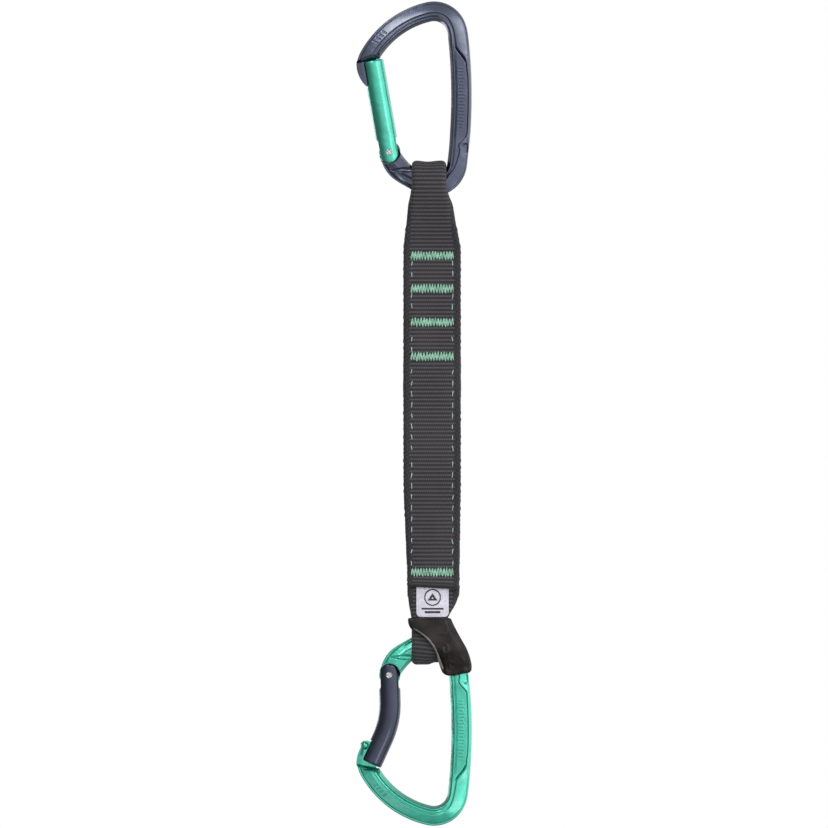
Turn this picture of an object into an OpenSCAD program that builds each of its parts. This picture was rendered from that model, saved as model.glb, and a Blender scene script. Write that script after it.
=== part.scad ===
/* [Carabiners] */
// Half of the bar's width, across the carabiner's plane of symmetry
bar_half_depth = 4.7; // [4.4:0.1:4.9]
// Half of the bar's width in the carabiner's own plane
bar_half_width = 4.4; // [4.1:0.1:4.6]
// Depth of the recess on each face of the spine
spine_recess = 2.6; // [0:0.1:3]
// Thickness of the nose plate and of the hinge tongue
tongue_t = 4.0; // [3.4:0.1:4.2]
// Diameter of a gate
gate_d = 9.4; // [9:0.1:9.6]
// Diameter of the gate rivet
rivet_d = 2.5; // [2:0.1:3]

/* [Sling] */
// Thickness of one layer of webbing
web_t = 1.6; // [1.2:0.1:1.7]
// Width of the sling between its loops
sling_w = 25; // [22:0.5:26]
// Width of the webbing in the loops
loop_w = 14.6; // [13:0.1:14.8]
// Distance between the two carabiners' inner ends
reach = 345; // [345:1:420]
// Length of a bar tack
tack_w = 18.8; // [16:0.2:20]
// Distance between the edge stitches
stitch_pitch = 4.8; // [4:0.1:6]

/* [Label and keeper] */
// Width of the label
label_w = 14.2; // [10:0.1:16]
// Length of the label
label_l = 13.4; // [10:0.1:14]
// Wall of the rubber keeper
keeper_wall = 1.3; // [1:0.1:1.5]

/* [Hidden] */
$fn = 48;
e = 0.01;

body_dark = [0.29, 0.31, 0.37];
green = [0.25, 0.74, 0.62];
slate = [0.25, 0.27, 0.34];
steel = [0.78, 0.78, 0.8];
webbing_grey = [0.23, 0.22, 0.24];
thread = [0.55, 0.82, 0.7];
label_pale = [0.88, 0.87, 0.94];
rubber = [0.19, 0.18, 0.18];

// ---- Centreline of the forged bar, in its own plane, X to the spine and Z up ----
// The bar starts inside the nose and ends at the gate rivet. Each entry is a stretch's
// length and the angle that it turns through; the stretches meet without a kink.
nose_start = [-29.4, -19.5];
nose_heading = 80;
NOSE = [5, -20];
BOW = [33, -47];
CROWN = [15.2, -84];
NECK = [3.5, -12.5];
SPINE = [57.4, -13.8];
BASKET = [20, -106];
TAIL = [21.4, -41];
STRETCHES = [NOSE, BOW, CROWN, NECK, SPINE, BASKET, TAIL];
RINGS = [3, 9, 12, 2, 16, 14, 10];

function heading(i) = i == 0 ? nose_heading : heading(i - 1) + STRETCHES[i - 1][1];
// A circular arc's end, from its start, its heading, its length and its turn
function along(p, h, len, turn) =
    let (r = len / (turn * PI / 180))
    [p[0] + r * (sin(h + turn) - sin(h)), p[1] + r * (cos(h) - cos(h + turn))];
function stretch_start(i) =
    i == 0 ? nose_start
    : along(stretch_start(i - 1), heading(i - 1), STRETCHES[i - 1][0], STRETCHES[i - 1][1]);

tail_swell = 1.2; // the tail bulges outward between the basket and the hinge
// Distances along the bar at which it changes section
spine_from = NOSE[0] + BOW[0] + CROWN[0] + NECK[0];
spine_to = spine_from + SPINE[0];
tail_from = spine_to + BASKET[0];
bar_length = tail_from + TAIL[0];
function smooth(t) = let (c = min(1, max(0, t))) c * c * (3 - 2 * c);
function recess_at(s) = spine_recess * smooth((s - spine_from) / 9) * smooth((spine_to - s) / 9);
function outer_at(s) =
    bar_half_width + tail_swell * sin(180 * smooth((s - tail_from - 4) / (TAIL[0] - 1.5)));
function inner_at(s) = bar_half_width - 0.1 * smooth((s - tail_from) / TAIL[0]);

// One ring of the bar: centre, heading, and distance from the nose end
RING_LIST = [for (i = [0:len(STRETCHES) - 1], k = [0:RINGS[i] - (i < len(STRETCHES) - 1 ? 1 : 0)])
    let (f = k / RINGS[i], l = STRETCHES[i][0] * f, turn = STRETCHES[i][1] * f,
        before = [for (j = [0:1:i - 1]) STRETCHES[j][0]],
        s0 = len(before) == 0 ? 0 : before * [for (b = before) 1])
    [f == 0 ? stretch_start(i) : along(stretch_start(i), heading(i), l, turn),
        heading(i) + turn, s0 + l]];

// Half a section, from the bar's outer side round one face to its inner side:
// share of the width, share of the depth, and 1 where the recess reaches
HALF_SECTION = [[1, 0.4, 0], [0.84, 0.8, 0], [0.56, 1, 0], [0.44, 1, 1],
    [-0.44, 1, 1], [-0.56, 1, 0], [-0.84, 0.8, 0], [-1, 0.4, 0]];

function section_points(ring) =
    let (s = ring[2], h = ring[1], n = [-sin(h), cos(h)],
        half = [for (q = HALF_SECTION)
            [q[0] * (q[0] > 0 ? outer_at(s) : inner_at(s)),
                q[1] * bar_half_depth - q[2] * recess_at(s)]],
        all = concat([for (q = half) [q[0], -q[1]]],
            [for (k = [len(half) - 1:-1:0]) half[k]]))
    [for (q = all) [ring[0][0] + q[0] * n[0], q[1], ring[0][1] + q[0] * n[1]]];

// A closed skin through rings of points
module skin(rings) {
    n = len(rings[0]);
    m = len(rings);
    polyhedron(
        points = [for (r = rings, p = r) p],
        faces = concat(
            [[for (k = [0:n - 1]) k]],
            [for (j = [0:m - 2], k = [0:n - 1])
                [j * n + k, (j + 1) * n + k, (j + 1) * n + (k + 1) % n]],
            [for (j = [0:m - 2], k = [0:n - 1])
                [j * n + k, (j + 1) * n + (k + 1) % n, j * n + (k + 1) % n]],
            [[for (k = [n - 1:-1:0]) (m - 1) * n + k]]));
}

// ---- Hinge and gate ----
rivet = [-19.4, -57.4];
gate_r = gate_d / 2;
gate_lean = 10;        // straight gate's lean, away from the spine
gate_l = 41;           // rivet to free end
ear_r = 5.0;           // round end of the fork
relief_r = 5.4;        // shoulder behind the ears
slot_t = tongue_t + 0.4;
slot_end_r = 5.35;     // inner end of the fork's slot, about the rivet
nose_slot_r = 29.6;    // inner end of the nose slot, about the rivet
plate_r = 30.3;        // the nose plate keeps outside this radius
shoulder_r = 41.7;     // end face above the gate
slot_floor = 2.0;      // straight gate's nose slot's floor, beyond its axis
cam_rate = 0.98;       // growth of the tongue's cam, mm per radian
cam_r = 4.2;           // cam radius in line with the closed straight gate
function cam_at(a) = cam_r + cam_rate * (a + gate_lean) * PI / 180;

// Draws in the carabiner's plane: child's X and Y become X and Z, thickness along Y
module upright(t) {
    rotate([90, 0, 0])
        linear_extrude(t, center = true) children();
}

// Puts a child that stands on Z along an axis that leans from the rivet
module on_gate(lean, side = 0) {
    translate([rivet[0], 0, rivet[1]])
        rotate([0, lean, 0])
            translate([side, 0, 0]) children();
}

module rivet_line(r, t) {
    translate([rivet[0], 0, rivet[1]])
        rotate([90, 0, 0]) cylinder(h = t, r = r, center = true);
}

// Room that the gate sweeps between the nose and the hinge
module gate_room() {
    intersection() {
        translate(rivet) circle(shoulder_r, $fn = 180);
        polygon([[-60, rivet[1] - 0.4], [-2, rivet[1] - 0.4], [-2, 0], [-60, 0]]);
    }
    translate(rivet) circle(relief_r);
}

nose_c = [-20.5, -18.7];
nose_r = 13.2;

// Nose plate between two distances from the straight gate's axis
module nose_plate_2d(from_axis, to_axis) {
    intersection() {
        translate(nose_c) circle(nose_r, $fn = 96);
        difference() {
            translate(rivet) circle(shoulder_r + 1, $fn = 180);
            translate(rivet) circle(plate_r, $fn = 180);
        }
        translate(rivet) rotate(gate_lean)
            translate([from_axis, 0]) square([to_axis - from_axis, 60]);
    }
}

// Outline of the bar between two distances along it, widened by a gap
module bar_2d(from, to, gap) {
    rings = [for (r = RING_LIST) if (r[2] > from && r[2] <= to + e) r];
    polygon(concat(
        [for (r = rings) r[0] + (outer_at(r[2]) + gap) * [-sin(r[1]), cos(r[1])]],
        [for (k = [len(rings) - 1:-1:0])
            rings[k][0] - (inner_at(rings[k][2]) + gap) * [-sin(rings[k][1]), cos(rings[k][1])]]));
}

// Hinge tongue: a disc about the rivet with a rising cam that pushes the plunger
module tongue_2d() {
    translate(rivet) {
        circle(4.3);
        polygon(concat([[0, 0]],
            [for (a = [-24:4:40]) cam_at(a) * [sin(a), cos(a)]],
            [for (a = [50:10:120]) cam_at(40) * [sin(a), cos(a)]]));
    }
    bar_2d(bar_length - 10, bar_length, -0.05);
}

module carabiner_body() {
    difference() {
        union() {
            difference() {
                skin([for (r = RING_LIST) section_points(r)]);
                upright(30) gate_room();
            }
            upright(tongue_t) nose_plate_2d(-20, slot_floor - 0.4);
            upright(tongue_t + 3) nose_plate_2d(-20, -gate_r - 0.5);
            upright(tongue_t) tongue_2d();
        }
        rivet_line(rivet_d / 2 + 0.05, 20);
    }
}

// Fork, slots and bore that both gates share, cut from a child. The nose slot's floor lies
// beyond the axis of the gate's tip, which passes through nose_at.
module gate_cuts(lean, side, bore_l, nose_lean, nose_at, nose_floor) {
    difference() {
        children();
        // fork slot, with a round inner end
        upright(slot_t) translate(rivet) {
            circle(slot_end_r);
            rotate(-lean) translate([-12, -12]) square([24, 12]);
        }
        // flats beside the fork
        on_gate(lean, side) for (s = [-1, 1])
            translate([s * (gate_r + 3.3), 0, 0]) cube([8, 20, 11], center = true);
        // spring bore
        on_gate(lean, side) translate([0, 0, 2]) cylinder(h = bore_l - 2, r = 2.3);
        // slot for the nose plate
        upright(slot_t) difference() {
            translate([rivet[0] + nose_at[0], rivet[1] + nose_at[1]]) rotate(-nose_lean)
                translate([nose_floor - 20, -20]) square([20, 30]);
            translate(rivet) circle(nose_slot_r, $fn = 180);
        }
        rivet_line(rivet_d / 2 + 0.02, 20);
    }
}

straight_bore = 26;
module straight_gate() {
    gate_cuts(-gate_lean, 0, straight_bore, -gate_lean,
            gate_l * [-sin(gate_lean), cos(gate_lean)], slot_floor) {
        on_gate(-gate_lean) {
            cylinder(h = gate_l - 0.8, r = gate_r);
            translate([0, 0, gate_l - 0.8]) cylinder(h = 0.8, r1 = gate_r, r2 = gate_r - 0.8);
        }
        // round hinge end
        intersection() {
            on_gate(-gate_lean) translate([0, 0, -ear_r]) cylinder(h = ear_r + 1, r = gate_r);
            rivet_line(ear_r, 20);
        }
    }
}

// Bent gate: straight from the fork, an arc, and straight to the tip
bent_lean = 1.5;
bent_side = 0.2;
bent_foot = 11.7;
bent_turn = 26;
bent_r = 37;
bent_tip = 12.1;
bent_bore = 17;
bent_floor = 3.4;
bent_end = let (a = bent_lean, b = bent_lean - bent_turn)
    [bent_side * cos(a) + bent_foot * sin(a) + bent_r * (cos(b) - cos(a)) + bent_tip * sin(b),
        -bent_side * sin(a) + bent_foot * cos(a) + bent_r * (sin(a) - sin(b)) + bent_tip * cos(b)];
// Ring round the bent gate: turned through an angle, then moved along the axis
function bent_ring(a, d, r) =
    [for (b = [0:7.5:352.5])
        let (q = bent_r + r * cos(b))
        [q * cos(a) - d * sin(a) - bent_r, r * sin(b), bent_foot + q * sin(a) + d * cos(a)]];

module bent_gate() {
    gate_cuts(bent_lean, bent_side, bent_bore, bent_lean - bent_turn, bent_end, bent_floor)
        difference() {
            on_gate(bent_lean, bent_side)
                skin(concat(
                    [bent_ring(0, -bent_foot - ear_r, gate_r)],
                    [for (a = [0:bent_turn / 8:bent_turn]) bent_ring(a, 0, gate_r)],
                    [bent_ring(bent_turn, bent_tip - 0.8, gate_r),
                        bent_ring(bent_turn, bent_tip, gate_r - 0.8)]));
            upright(20) translate(rivet) rotate(-bent_lean) difference() {
                translate([-12, -12]) square([24, 12]);
                circle(ear_r);
            }
        }
}

// Push rod between the spring and the tongue's cam
rod_r = 2.22;
tip_r = 1.2;
rod_gap = 0.1;
rod_top = 9.4;
module plunger(lean, side) {
    tip = cam_at(lean) + rod_gap;
    on_gate(lean, side) {
        translate([0, 0, tip + tip_r]) sphere(tip_r);
        translate([0, 0, tip + tip_r]) cylinder(h = rod_top - tip - tip_r, r = tip_r);
        translate([0, 0, 6.6]) cylinder(h = rod_top - 6.6, r = rod_r);
    }
}

// Coil spring between the rod and the end of the bore
wire_r = 0.32;
coil_r = 1.85;
coil_steps = 10;
module coil(lean, side, from, to, turns) {
    steps = turns * coil_steps;
    low = from + wire_r + 0.05;
    rise = to - from - 2 * wire_r - 0.1;
    on_gate(lean, side)
        skin([for (k = [0:steps])
            let (a = k * 360 / coil_steps, z = low + rise * k / steps)
            [for (b = [0:5])
                [(coil_r + wire_r * cos(60 * b)) * cos(a), (coil_r + wire_r * cos(60 * b)) * sin(a),
                    z + wire_r * sin(60 * b)]]]);
}

module rivet_pin() {
    rivet_line(rivet_d / 2, gate_d - 1.2);
    for (s = [-1, 1])
        translate([rivet[0], s * (gate_r - 0.6), rivet[1]])
            rotate([-s * 90, 0, 0])
                cylinder(h = 0.5, r1 = rivet_d / 2, r2 = rivet_d / 2 - 0.3);
}

// The lower carabiner is the same forging, turned end for end
module lower() {
    translate([0, 0, -reach]) mirror([0, 0, 1]) children();
}

// ---- Sling ----
bar_z = -70.9;              // axis of the upper loop
low_z = -reach - bar_z;     // axis of the lower loop
loop_in = 7.6;
loop_out = loop_in + web_t;
half_t = 1.5 * web_t;       // three layers
tack_z = [-103, -117.5, -132.3, -147.4, low_z + 31.7];
loop_run = 30;              // axis of a loop to its first full-thickness point
top_z = bar_z - loop_run;
foot_z = low_z + loop_run;
bend_z = (top_z + foot_z) / 2 - 20;
bend_slope = 27;            // half of the sling's bend, which its two halves leave free
edge_in = 3.5;              // edge stitches, inside the sling's edge
tack_gap = 3.0;             // edge stitches leave out places nearer to a bar tack's middle
thread_t = 0.4;

loop_x = [-9.2, -9.2 + loop_w];
sling_mid = -0.4;
// The sling widens from each loop to its middle, over these lengths
flare = 24;
low_flare = 14;
slow_flare = 50;    // last part of the lower widening
left_slow = 0.35;   // share of the left edge's lower widening that is slow
right_slow = 0.1;
function top_widen(z) =
    let (d = bar_z - 4.8 - z)
    0.25 * smooth(d / 3) + 0.75 * min(1, max(0, d / flare));
function low_widen(z, slow) =
    (1 - slow) * smooth((z - low_z - 9) / low_flare) + slow * smooth((z - low_z - 26) / slow_flare);
function left_at(z) = loop_x[0]
    + (sling_mid - sling_w / 2 - loop_x[0]) * top_widen(z) * low_widen(z, left_slow);
function right_at(z) = loop_x[1]
    + (sling_mid + sling_w / 2 - loop_x[1]) * top_widen(z) * low_widen(z, right_slow);
function levels(a, b, n) = [for (k = [0:n]) a + (b - a) * k / n];
OUTLINE_Z = concat([bar_z + 12], levels(bar_z - 4.8, bar_z - 7.8, 5),
    levels(bar_z - 9.8, bar_z - 4.8 - flare, 3),
    levels(low_z + 26 + slow_flare, low_z + 26, 8), levels(low_z + 9 + low_flare, low_z + 9, 8),
    [low_z - 12]);

module front_2d(grow = 0) {
    polygon(concat([for (z = OUTLINE_Z) [left_at(z) - grow, z]],
        [for (k = [len(OUTLINE_Z) - 1:-1:0]) [right_at(OUTLINE_Z[k]) + grow, OUTLINE_Z[k]]]));
}

// Teardrop from a circle of radius r at the loop's axis to a slab at distance d
module drop_2d(r, half, d) {
    q = atan2(d, half) - acos(r / norm([d, half]));
    circle(r, $fn = 72);
    polygon([[r * cos(q), r * sin(q)], [half, d], [-half, d], [-r * cos(q), r * sin(q)], [0, 0]]);
}

// Side view of one half of the sling, with the loop's axis at the origin and the slab above
module half_side_2d(slab) {
    difference() {
        union() {
            drop_2d(loop_out, half_t, loop_run);
            translate([-half_t, loop_run - e]) square([2 * half_t, slab - loop_run + e]);
        }
        drop_2d(loop_in, 0.05, loop_run);
        // the end towards the other half is a blunt ridge
        translate([0, slab - 0.1]) {
            polygon([[0, 0], [6, -6 * tan(bend_slope)], [6, 6], [0, 6]]);
            polygon([[0, 0], [-6, -6 * tan(bend_slope)], [-6, 6], [0, 6]]);
        }
    }
}

// Side views are drawn in Y and Z, and extruded along X
module sideways(w) {
    rotate([90, 0, 90]) linear_extrude(w, center = true) children();
}

module webbing_upper() {
    color(webbing_grey) intersection() {
        translate([0, 0, bar_z]) sideways(60) mirror([0, 1]) half_side_2d(bar_z - bend_z);
        upright(60) front_2d();
    }
}

module webbing_lower() {
    color(webbing_grey) intersection() {
        translate([0, 0, low_z]) sideways(60) half_side_2d(bend_z - low_z);
        upright(60) front_2d();
    }
}

module both_faces() {
    for (s = [-1, 1])
        translate([0, s * (half_t + thread_t / 2), 0]) children();
}

module bar_tack(k) {
    color(thread) both_faces()
        translate([sling_mid, 0, tack_z[k]]) cube([tack_w, thread_t, 1.8], center = true);
}

// Running stitches along one edge, between two heights
module edge_stitches(side, top, bottom) {
    count = floor((top - bottom) / stitch_pitch);
    x = sling_mid + side * (sling_w / 2 - edge_in);
    places = [for (k = [0:count]) top - 1.2 - k * stitch_pitch];
    color(thread) both_faces()
        for (z = places)
            if (min([for (t = tack_z) abs(z - t)]) > tack_gap)
                translate([x, 0, z]) cube([0.7, thread_t, 2.2], center = true);
}

// ---- Label and keeper ----
face_lean = atan2(loop_run, half_t) - acos(loop_out / norm([loop_run, half_t]));
label_t = 0.5;
label_top = 25.5;   // above the lower loop's axis
module label() {
    color(label_pale)
        translate([-0.2, -half_t - (loop_run - label_top) * tan(face_lean), low_z + label_top])
            rotate([-face_lean, 0, 0])
                translate([0, -label_t / 2 - 0.02, -label_l / 2])
                    rotate([90, 0, 0]) linear_extrude(label_t, center = true) {
                        translate([-label_w / 2, -label_l / 2 + 2]) square([label_w, label_l - 2]);
                        translate([-label_w / 2 + 2, -label_l / 2]) square([label_w - 4, 2 + e]);
                        for (s = [-1, 1])
                            translate([s * (label_w / 2 - 2), -label_l / 2 + 2]) circle(2);
                    }
}

// Keeper's front outline: a sleeve round the sling's end that runs down the spine's corner
KEEPER_OUTLINE = [[-11.2, -262.4], [-10.9, -265.2], [-9.8, -267.4], [-7.5, -268.8], [-4.9, -270],
    [-2.5, -272.2], [-0.6, -274.4], [0.9, -277.2], [2.2, -281], [3.2, -284.6], [4.2, -286.8],
    [6.2, -287.9], [9, -288], [13, -287.1], [16.2, -286.6], [17.1, -285.4], [17.1, -283],
    [16.2, -279.2], [14.8, -275.7], [12.6, -271.9], [10.8, -268.6], [9, -265.2], [7.9, -262.4]];

module keeper() {
    gap = 0.3;
    full = loop_out + gap + keeper_wall;
    slim = bar_half_depth + gap + keeper_wall;
    color(rubber) difference() {
        intersection() {
            upright(60) polygon(KEEPER_OUTLINE);
            // depth: full over the loop, slim down the spine
            translate([0, 0, low_z]) sideways(80)
                polygon([[-full + 1.2, 14], [-full, 3], [-full, -3], [-slim, -12], [-slim, -20],
                    [slim, -20], [slim, -12], [full, -3], [full, 3], [full - 1.2, 14]]);
        }
        // the sling's end
        intersection() {
            translate([0, 0, low_z]) sideways(60) {
                circle(loop_out + gap, $fn = 72);
                drop_2d(loop_out + gap, half_t + gap, loop_run);
            }
            upright(60) front_2d(gap);
        }
        // the carabiner's bar
        lower() upright(2 * (bar_half_depth + gap)) bar_2d(spine_to - 24, tail_from + 4, gap);
    }
}

// ---- Nodes ----
module upper_body() { color(body_dark) carabiner_body(); }
module upper_gate() { color(green) straight_gate(); }
module upper_rivet() { color(steel) rivet_pin(); }
module upper_spring() { color(steel) coil(-gate_lean, 0, rod_top, straight_bore, 7); }
module upper_plunger() { color(steel) plunger(-gate_lean, 0); }
module lower_body() { color(green) lower() carabiner_body(); }
module lower_gate() { color(slate) lower() bent_gate(); }
module lower_rivet() { color(steel) lower() rivet_pin(); }
module lower_spring() { color(steel) lower() coil(bent_lean, bent_side, rod_top, bent_bore, 4); }
module lower_plunger() { color(steel) lower() plunger(bent_lean, bent_side); }

upper_body();
upper_gate();
upper_rivet();
upper_spring();
upper_plunger();
webbing_upper();
webbing_lower();
bar_tack(0);  // bar_tack_1
bar_tack(1);  // bar_tack_2
bar_tack(2);  // bar_tack_3
bar_tack(3);  // bar_tack_4
bar_tack(4);  // bar_tack_5
edge_stitches(-1, -105, bend_z + 3);  // stitch_upper_left
edge_stitches(1, -105, bend_z + 3);  // stitch_upper_right
edge_stitches(-1, bend_z - 2, -237);  // stitch_lower_left
edge_stitches(1, bend_z - 2, -237);  // stitch_lower_right
label();
keeper();
lower_body();
lower_gate();
lower_rivet();
lower_spring();
lower_plunger();
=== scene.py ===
import math
import random

import bmesh
import bpy
import numpy as np
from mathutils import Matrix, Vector


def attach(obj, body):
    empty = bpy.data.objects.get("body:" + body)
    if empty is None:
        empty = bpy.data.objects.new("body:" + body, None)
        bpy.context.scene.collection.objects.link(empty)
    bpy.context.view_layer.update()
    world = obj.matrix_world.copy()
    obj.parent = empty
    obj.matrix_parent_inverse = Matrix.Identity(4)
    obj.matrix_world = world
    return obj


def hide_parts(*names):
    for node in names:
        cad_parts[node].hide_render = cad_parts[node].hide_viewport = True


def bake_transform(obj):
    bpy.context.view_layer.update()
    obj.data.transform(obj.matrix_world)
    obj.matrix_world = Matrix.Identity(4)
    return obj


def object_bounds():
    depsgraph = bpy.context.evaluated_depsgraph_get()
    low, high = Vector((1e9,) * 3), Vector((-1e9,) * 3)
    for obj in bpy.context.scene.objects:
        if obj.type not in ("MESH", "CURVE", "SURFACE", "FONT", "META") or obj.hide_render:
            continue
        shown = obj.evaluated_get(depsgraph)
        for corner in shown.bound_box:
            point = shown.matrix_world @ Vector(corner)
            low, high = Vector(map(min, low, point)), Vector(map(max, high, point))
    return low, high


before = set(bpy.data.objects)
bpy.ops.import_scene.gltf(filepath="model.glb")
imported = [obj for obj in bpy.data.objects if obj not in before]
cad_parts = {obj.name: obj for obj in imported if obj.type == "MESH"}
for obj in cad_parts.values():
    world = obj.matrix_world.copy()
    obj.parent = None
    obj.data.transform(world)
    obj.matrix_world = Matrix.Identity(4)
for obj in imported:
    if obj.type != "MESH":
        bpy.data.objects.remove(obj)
cad_box = [list(corner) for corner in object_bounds()]

# Lengths below are in millimetres unless a comment says metres, in the frame's axes: X to the
# spines, Z up, Y away from the camera. Angles are in degrees where they are constants.
MM = 0.001

# ---------------------------------------------------------------- mesh helpers


def new_object(name, data):
    obj = bpy.data.objects.new(name, data)
    bpy.context.collection.objects.link(obj)
    return obj


def add_mesh(name, points, faces, materials=(), sharp=40):
    """A new object from points in millimetres, with its normals outward and smooth."""
    mesh = bpy.data.meshes.new(name)
    mesh.from_pydata((np.asarray(points, float) * MM).tolist(), [], [tuple(f) for f in faces])
    obj = new_object(name, mesh)
    for m in materials:
        mesh.materials.append(m)
    tidy_normals(obj, sharp)
    return obj


def tidy_normals(obj, sharp=40):
    """Turns the faces outward and smooths them, apart from edges sharper than an angle."""
    bm = bmesh.new()
    bm.from_mesh(obj.data)
    bmesh.ops.recalc_face_normals(bm, faces=bm.faces)
    bm.to_mesh(obj.data)
    bm.free()
    obj.data.shade_smooth()
    if sharp:
        obj.data.set_sharp_from_angle(angle=math.radians(sharp))


def ring_faces(rings, n, first=0, caps=True, closed=False):
    """Faces of a skin through rings of n points each."""
    last = rings if closed else rings - 1
    faces = [
        (first + j * n + k, first + j * n + (k + 1) % n,
         first + (j + 1) % rings * n + (k + 1) % n, first + (j + 1) % rings * n + k)
        for j in range(last) for k in range(n)
    ]
    if caps and not closed:
        faces.append(tuple(first + k for k in range(n))[::-1])
        faces.append(tuple(first + (rings - 1) * n + k for k in range(n)))
    return faces


def bake_modifiers(obj):
    """Applies an object's modifiers to its mesh."""
    dg = bpy.context.evaluated_depsgraph_get()
    mesh = bpy.data.meshes.new_from_object(obj.evaluated_get(dg))
    obj.modifiers.clear()
    old = obj.data
    obj.data = mesh
    mesh.name = obj.name
    bpy.data.meshes.remove(old)


def boolean(obj, cutter, operation="DIFFERENCE"):
    """Joins a mesh with a cutter, which it uses up."""
    m = obj.modifiers.new("cut", "BOOLEAN")
    m.solver = "EXACT"
    m.operation = operation
    m.object = cutter
    bake_modifiers(obj)
    bpy.data.objects.remove(cutter)


def cutter(points):
    """A solid between two rings of points, for boolean."""
    return add_mesh("cutter", points, ring_faces(2, len(points) // 2))


def prism(outline, half, centre=0.0):
    """A slab with an outline in X and Z, half thick each way along Y."""
    return cutter([(x, centre + s * half, z) for s in (-1, 1) for x, z in outline])


def polar(centre, r, a):
    return centre[0] + r * math.cos(a), centre[1] + r * math.sin(a)


def disc(centre, r, half, n=128, at=0.0):
    """A round slab across Y, centred in X and Z, and at a place along Y."""
    turn = [2 * math.pi * k / n for k in range(n)]
    return prism([polar(centre, r, a) for a in turn], half, at)


def smooth(t):
    c = np.clip(t, 0, 1)
    return c * c * (3 - 2 * c)


def bell(x, middle, width):
    return np.exp(-((x - middle) / width) ** 2)


def noise(x, seed):
    """A slow, repeatable waver between -1 and 1."""
    return (np.sin(x + seed) + np.sin(2.3 * x + 1.7 * seed) + np.sin(0.61 * x + 2.9 * seed)) / 3


def paint(obj, *materials):
    obj.data.materials.clear()
    for m in materials:
        obj.data.materials.append(m)


def lengths_along(points):
    """Distance along a polyline to each of its points."""
    steps = np.linalg.norm(np.diff(points, axis=0), axis=1)
    return np.concatenate([[0], np.cumsum(steps)])


def tangents(points):
    t = np.gradient(points, axis=0)
    return t / np.linalg.norm(t, axis=1)[:, None]


# ---------------------------------------------------------------- materials


def fill_ramp(elements, stops):
    """Sets a colour ramp's stops, whose values are greys or colours."""
    elements[1].position, elements[0].position = stops[-1][0], stops[0][0]
    for at, value in stops:
        if at == stops[0][0]:
            e = elements[0]
        elif at == stops[-1][0]:
            e = elements[-1]
        else:
            e = elements.new(at)
        e.color = (*value, 1) if isinstance(value, tuple) else (value,) * 3 + (1,)


class Nodes:
    """A node tree, of a material or of the world."""

    def __init__(self, owner):
        owner.use_nodes = True
        self.tree = owner.node_tree

    def add(self, kind, **settings):
        node = self.tree.nodes.new(kind)
        for key, value in settings.items():
            setattr(node, key, value)
        return node

    def link(self, a, b):
        self.tree.links.new(a, b)

    def ramp(self, source, *stops):
        r = self.add("ShaderNodeValToRGB")
        fill_ramp(r.color_ramp.elements, stops)
        self.link(source, r.inputs["Fac"])
        return r.outputs["Color"]

    def mix(self, share, a, b, blend="MIX"):
        m = self.add("ShaderNodeMix", data_type="RGBA", blend_type=blend)
        for value, socket in ((share, m.inputs[0]), (a, m.inputs[6]), (b, m.inputs[7])):
            if isinstance(value, bpy.types.NodeSocket):
                self.link(value, socket)
            else:
                socket.default_value = (*value, 1) if isinstance(value, tuple) else value
        return m.outputs[2]

    def math(self, operation, a, b=None):
        m = self.add("ShaderNodeMath", operation=operation)
        for value, socket in ((a, m.inputs[0]), (b, m.inputs[1])):
            if isinstance(value, bpy.types.NodeSocket):
                self.link(value, socket)
            elif value is not None:
                socket.default_value = value
        return m.outputs[0]

    def range(self, source, low, high, to_low, to_high):
        m = self.add("ShaderNodeMapRange")
        for key, value in (("From Min", low), ("From Max", high),
                           ("To Min", to_low), ("To Max", to_high)):
            m.inputs[key].default_value = value
        self.link(source, m.inputs["Value"])
        return m.outputs["Result"]

    def parts(self, source):
        """The X, Y and Z of a vector."""
        split = self.add("ShaderNodeSeparateXYZ")
        self.link(source, split.inputs["Vector"])
        return split.outputs

    def stripes(self, phase):
        """0 to 1 and back, once in each turn of a phase."""
        return self.range(self.math("SINE", phase), -1, 1, 0, 1)


class Material(Nodes):
    """A node material that ends in one Principled shader."""

    def __init__(self, name, **sockets):
        self.material = bpy.data.materials.new(name)
        super().__init__(self.material)
        self.shader = self.tree.nodes["Principled BSDF"]
        for key, value in sockets.items():
            self.shader.inputs[key.replace("_", " ")].default_value = value
        self.place = self.add("ShaderNodeTexCoord").outputs["Object"]

    def noise(self, scale, detail=2.0, stretch=None):
        source = self.place
        if stretch:
            m = self.add("ShaderNodeMapping")
            m.inputs["Scale"].default_value = stretch
            self.link(source, m.inputs["Vector"])
            source = m.outputs["Vector"]
        n = self.add("ShaderNodeTexNoise")
        n.inputs["Scale"].default_value = scale
        n.inputs["Detail"].default_value = detail
        self.link(source, n.inputs["Vector"])
        return n.outputs["Fac"]

    def cloth(self):
        """The parts of the attribute that set_cloth writes."""
        source = self.add("ShaderNodeAttribute", attribute_name="cloth")
        return self.parts(source.outputs["Vector"])

    def bump(self, *layers):
        """Layers of (height, distance in metres, strength)."""
        normal = None
        for height, distance, strength in layers:
            b = self.add("ShaderNodeBump")
            b.inputs["Distance"].default_value = distance
            b.inputs["Strength"].default_value = strength
            self.link(height, b.inputs["Height"])
            if normal:
                self.link(normal, b.inputs["Normal"])
            normal = b.outputs["Normal"]
        self.link(normal, self.shader.inputs["Normal"])

    def set(self, socket, source):
        self.link(source, self.shader.inputs[socket])


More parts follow.
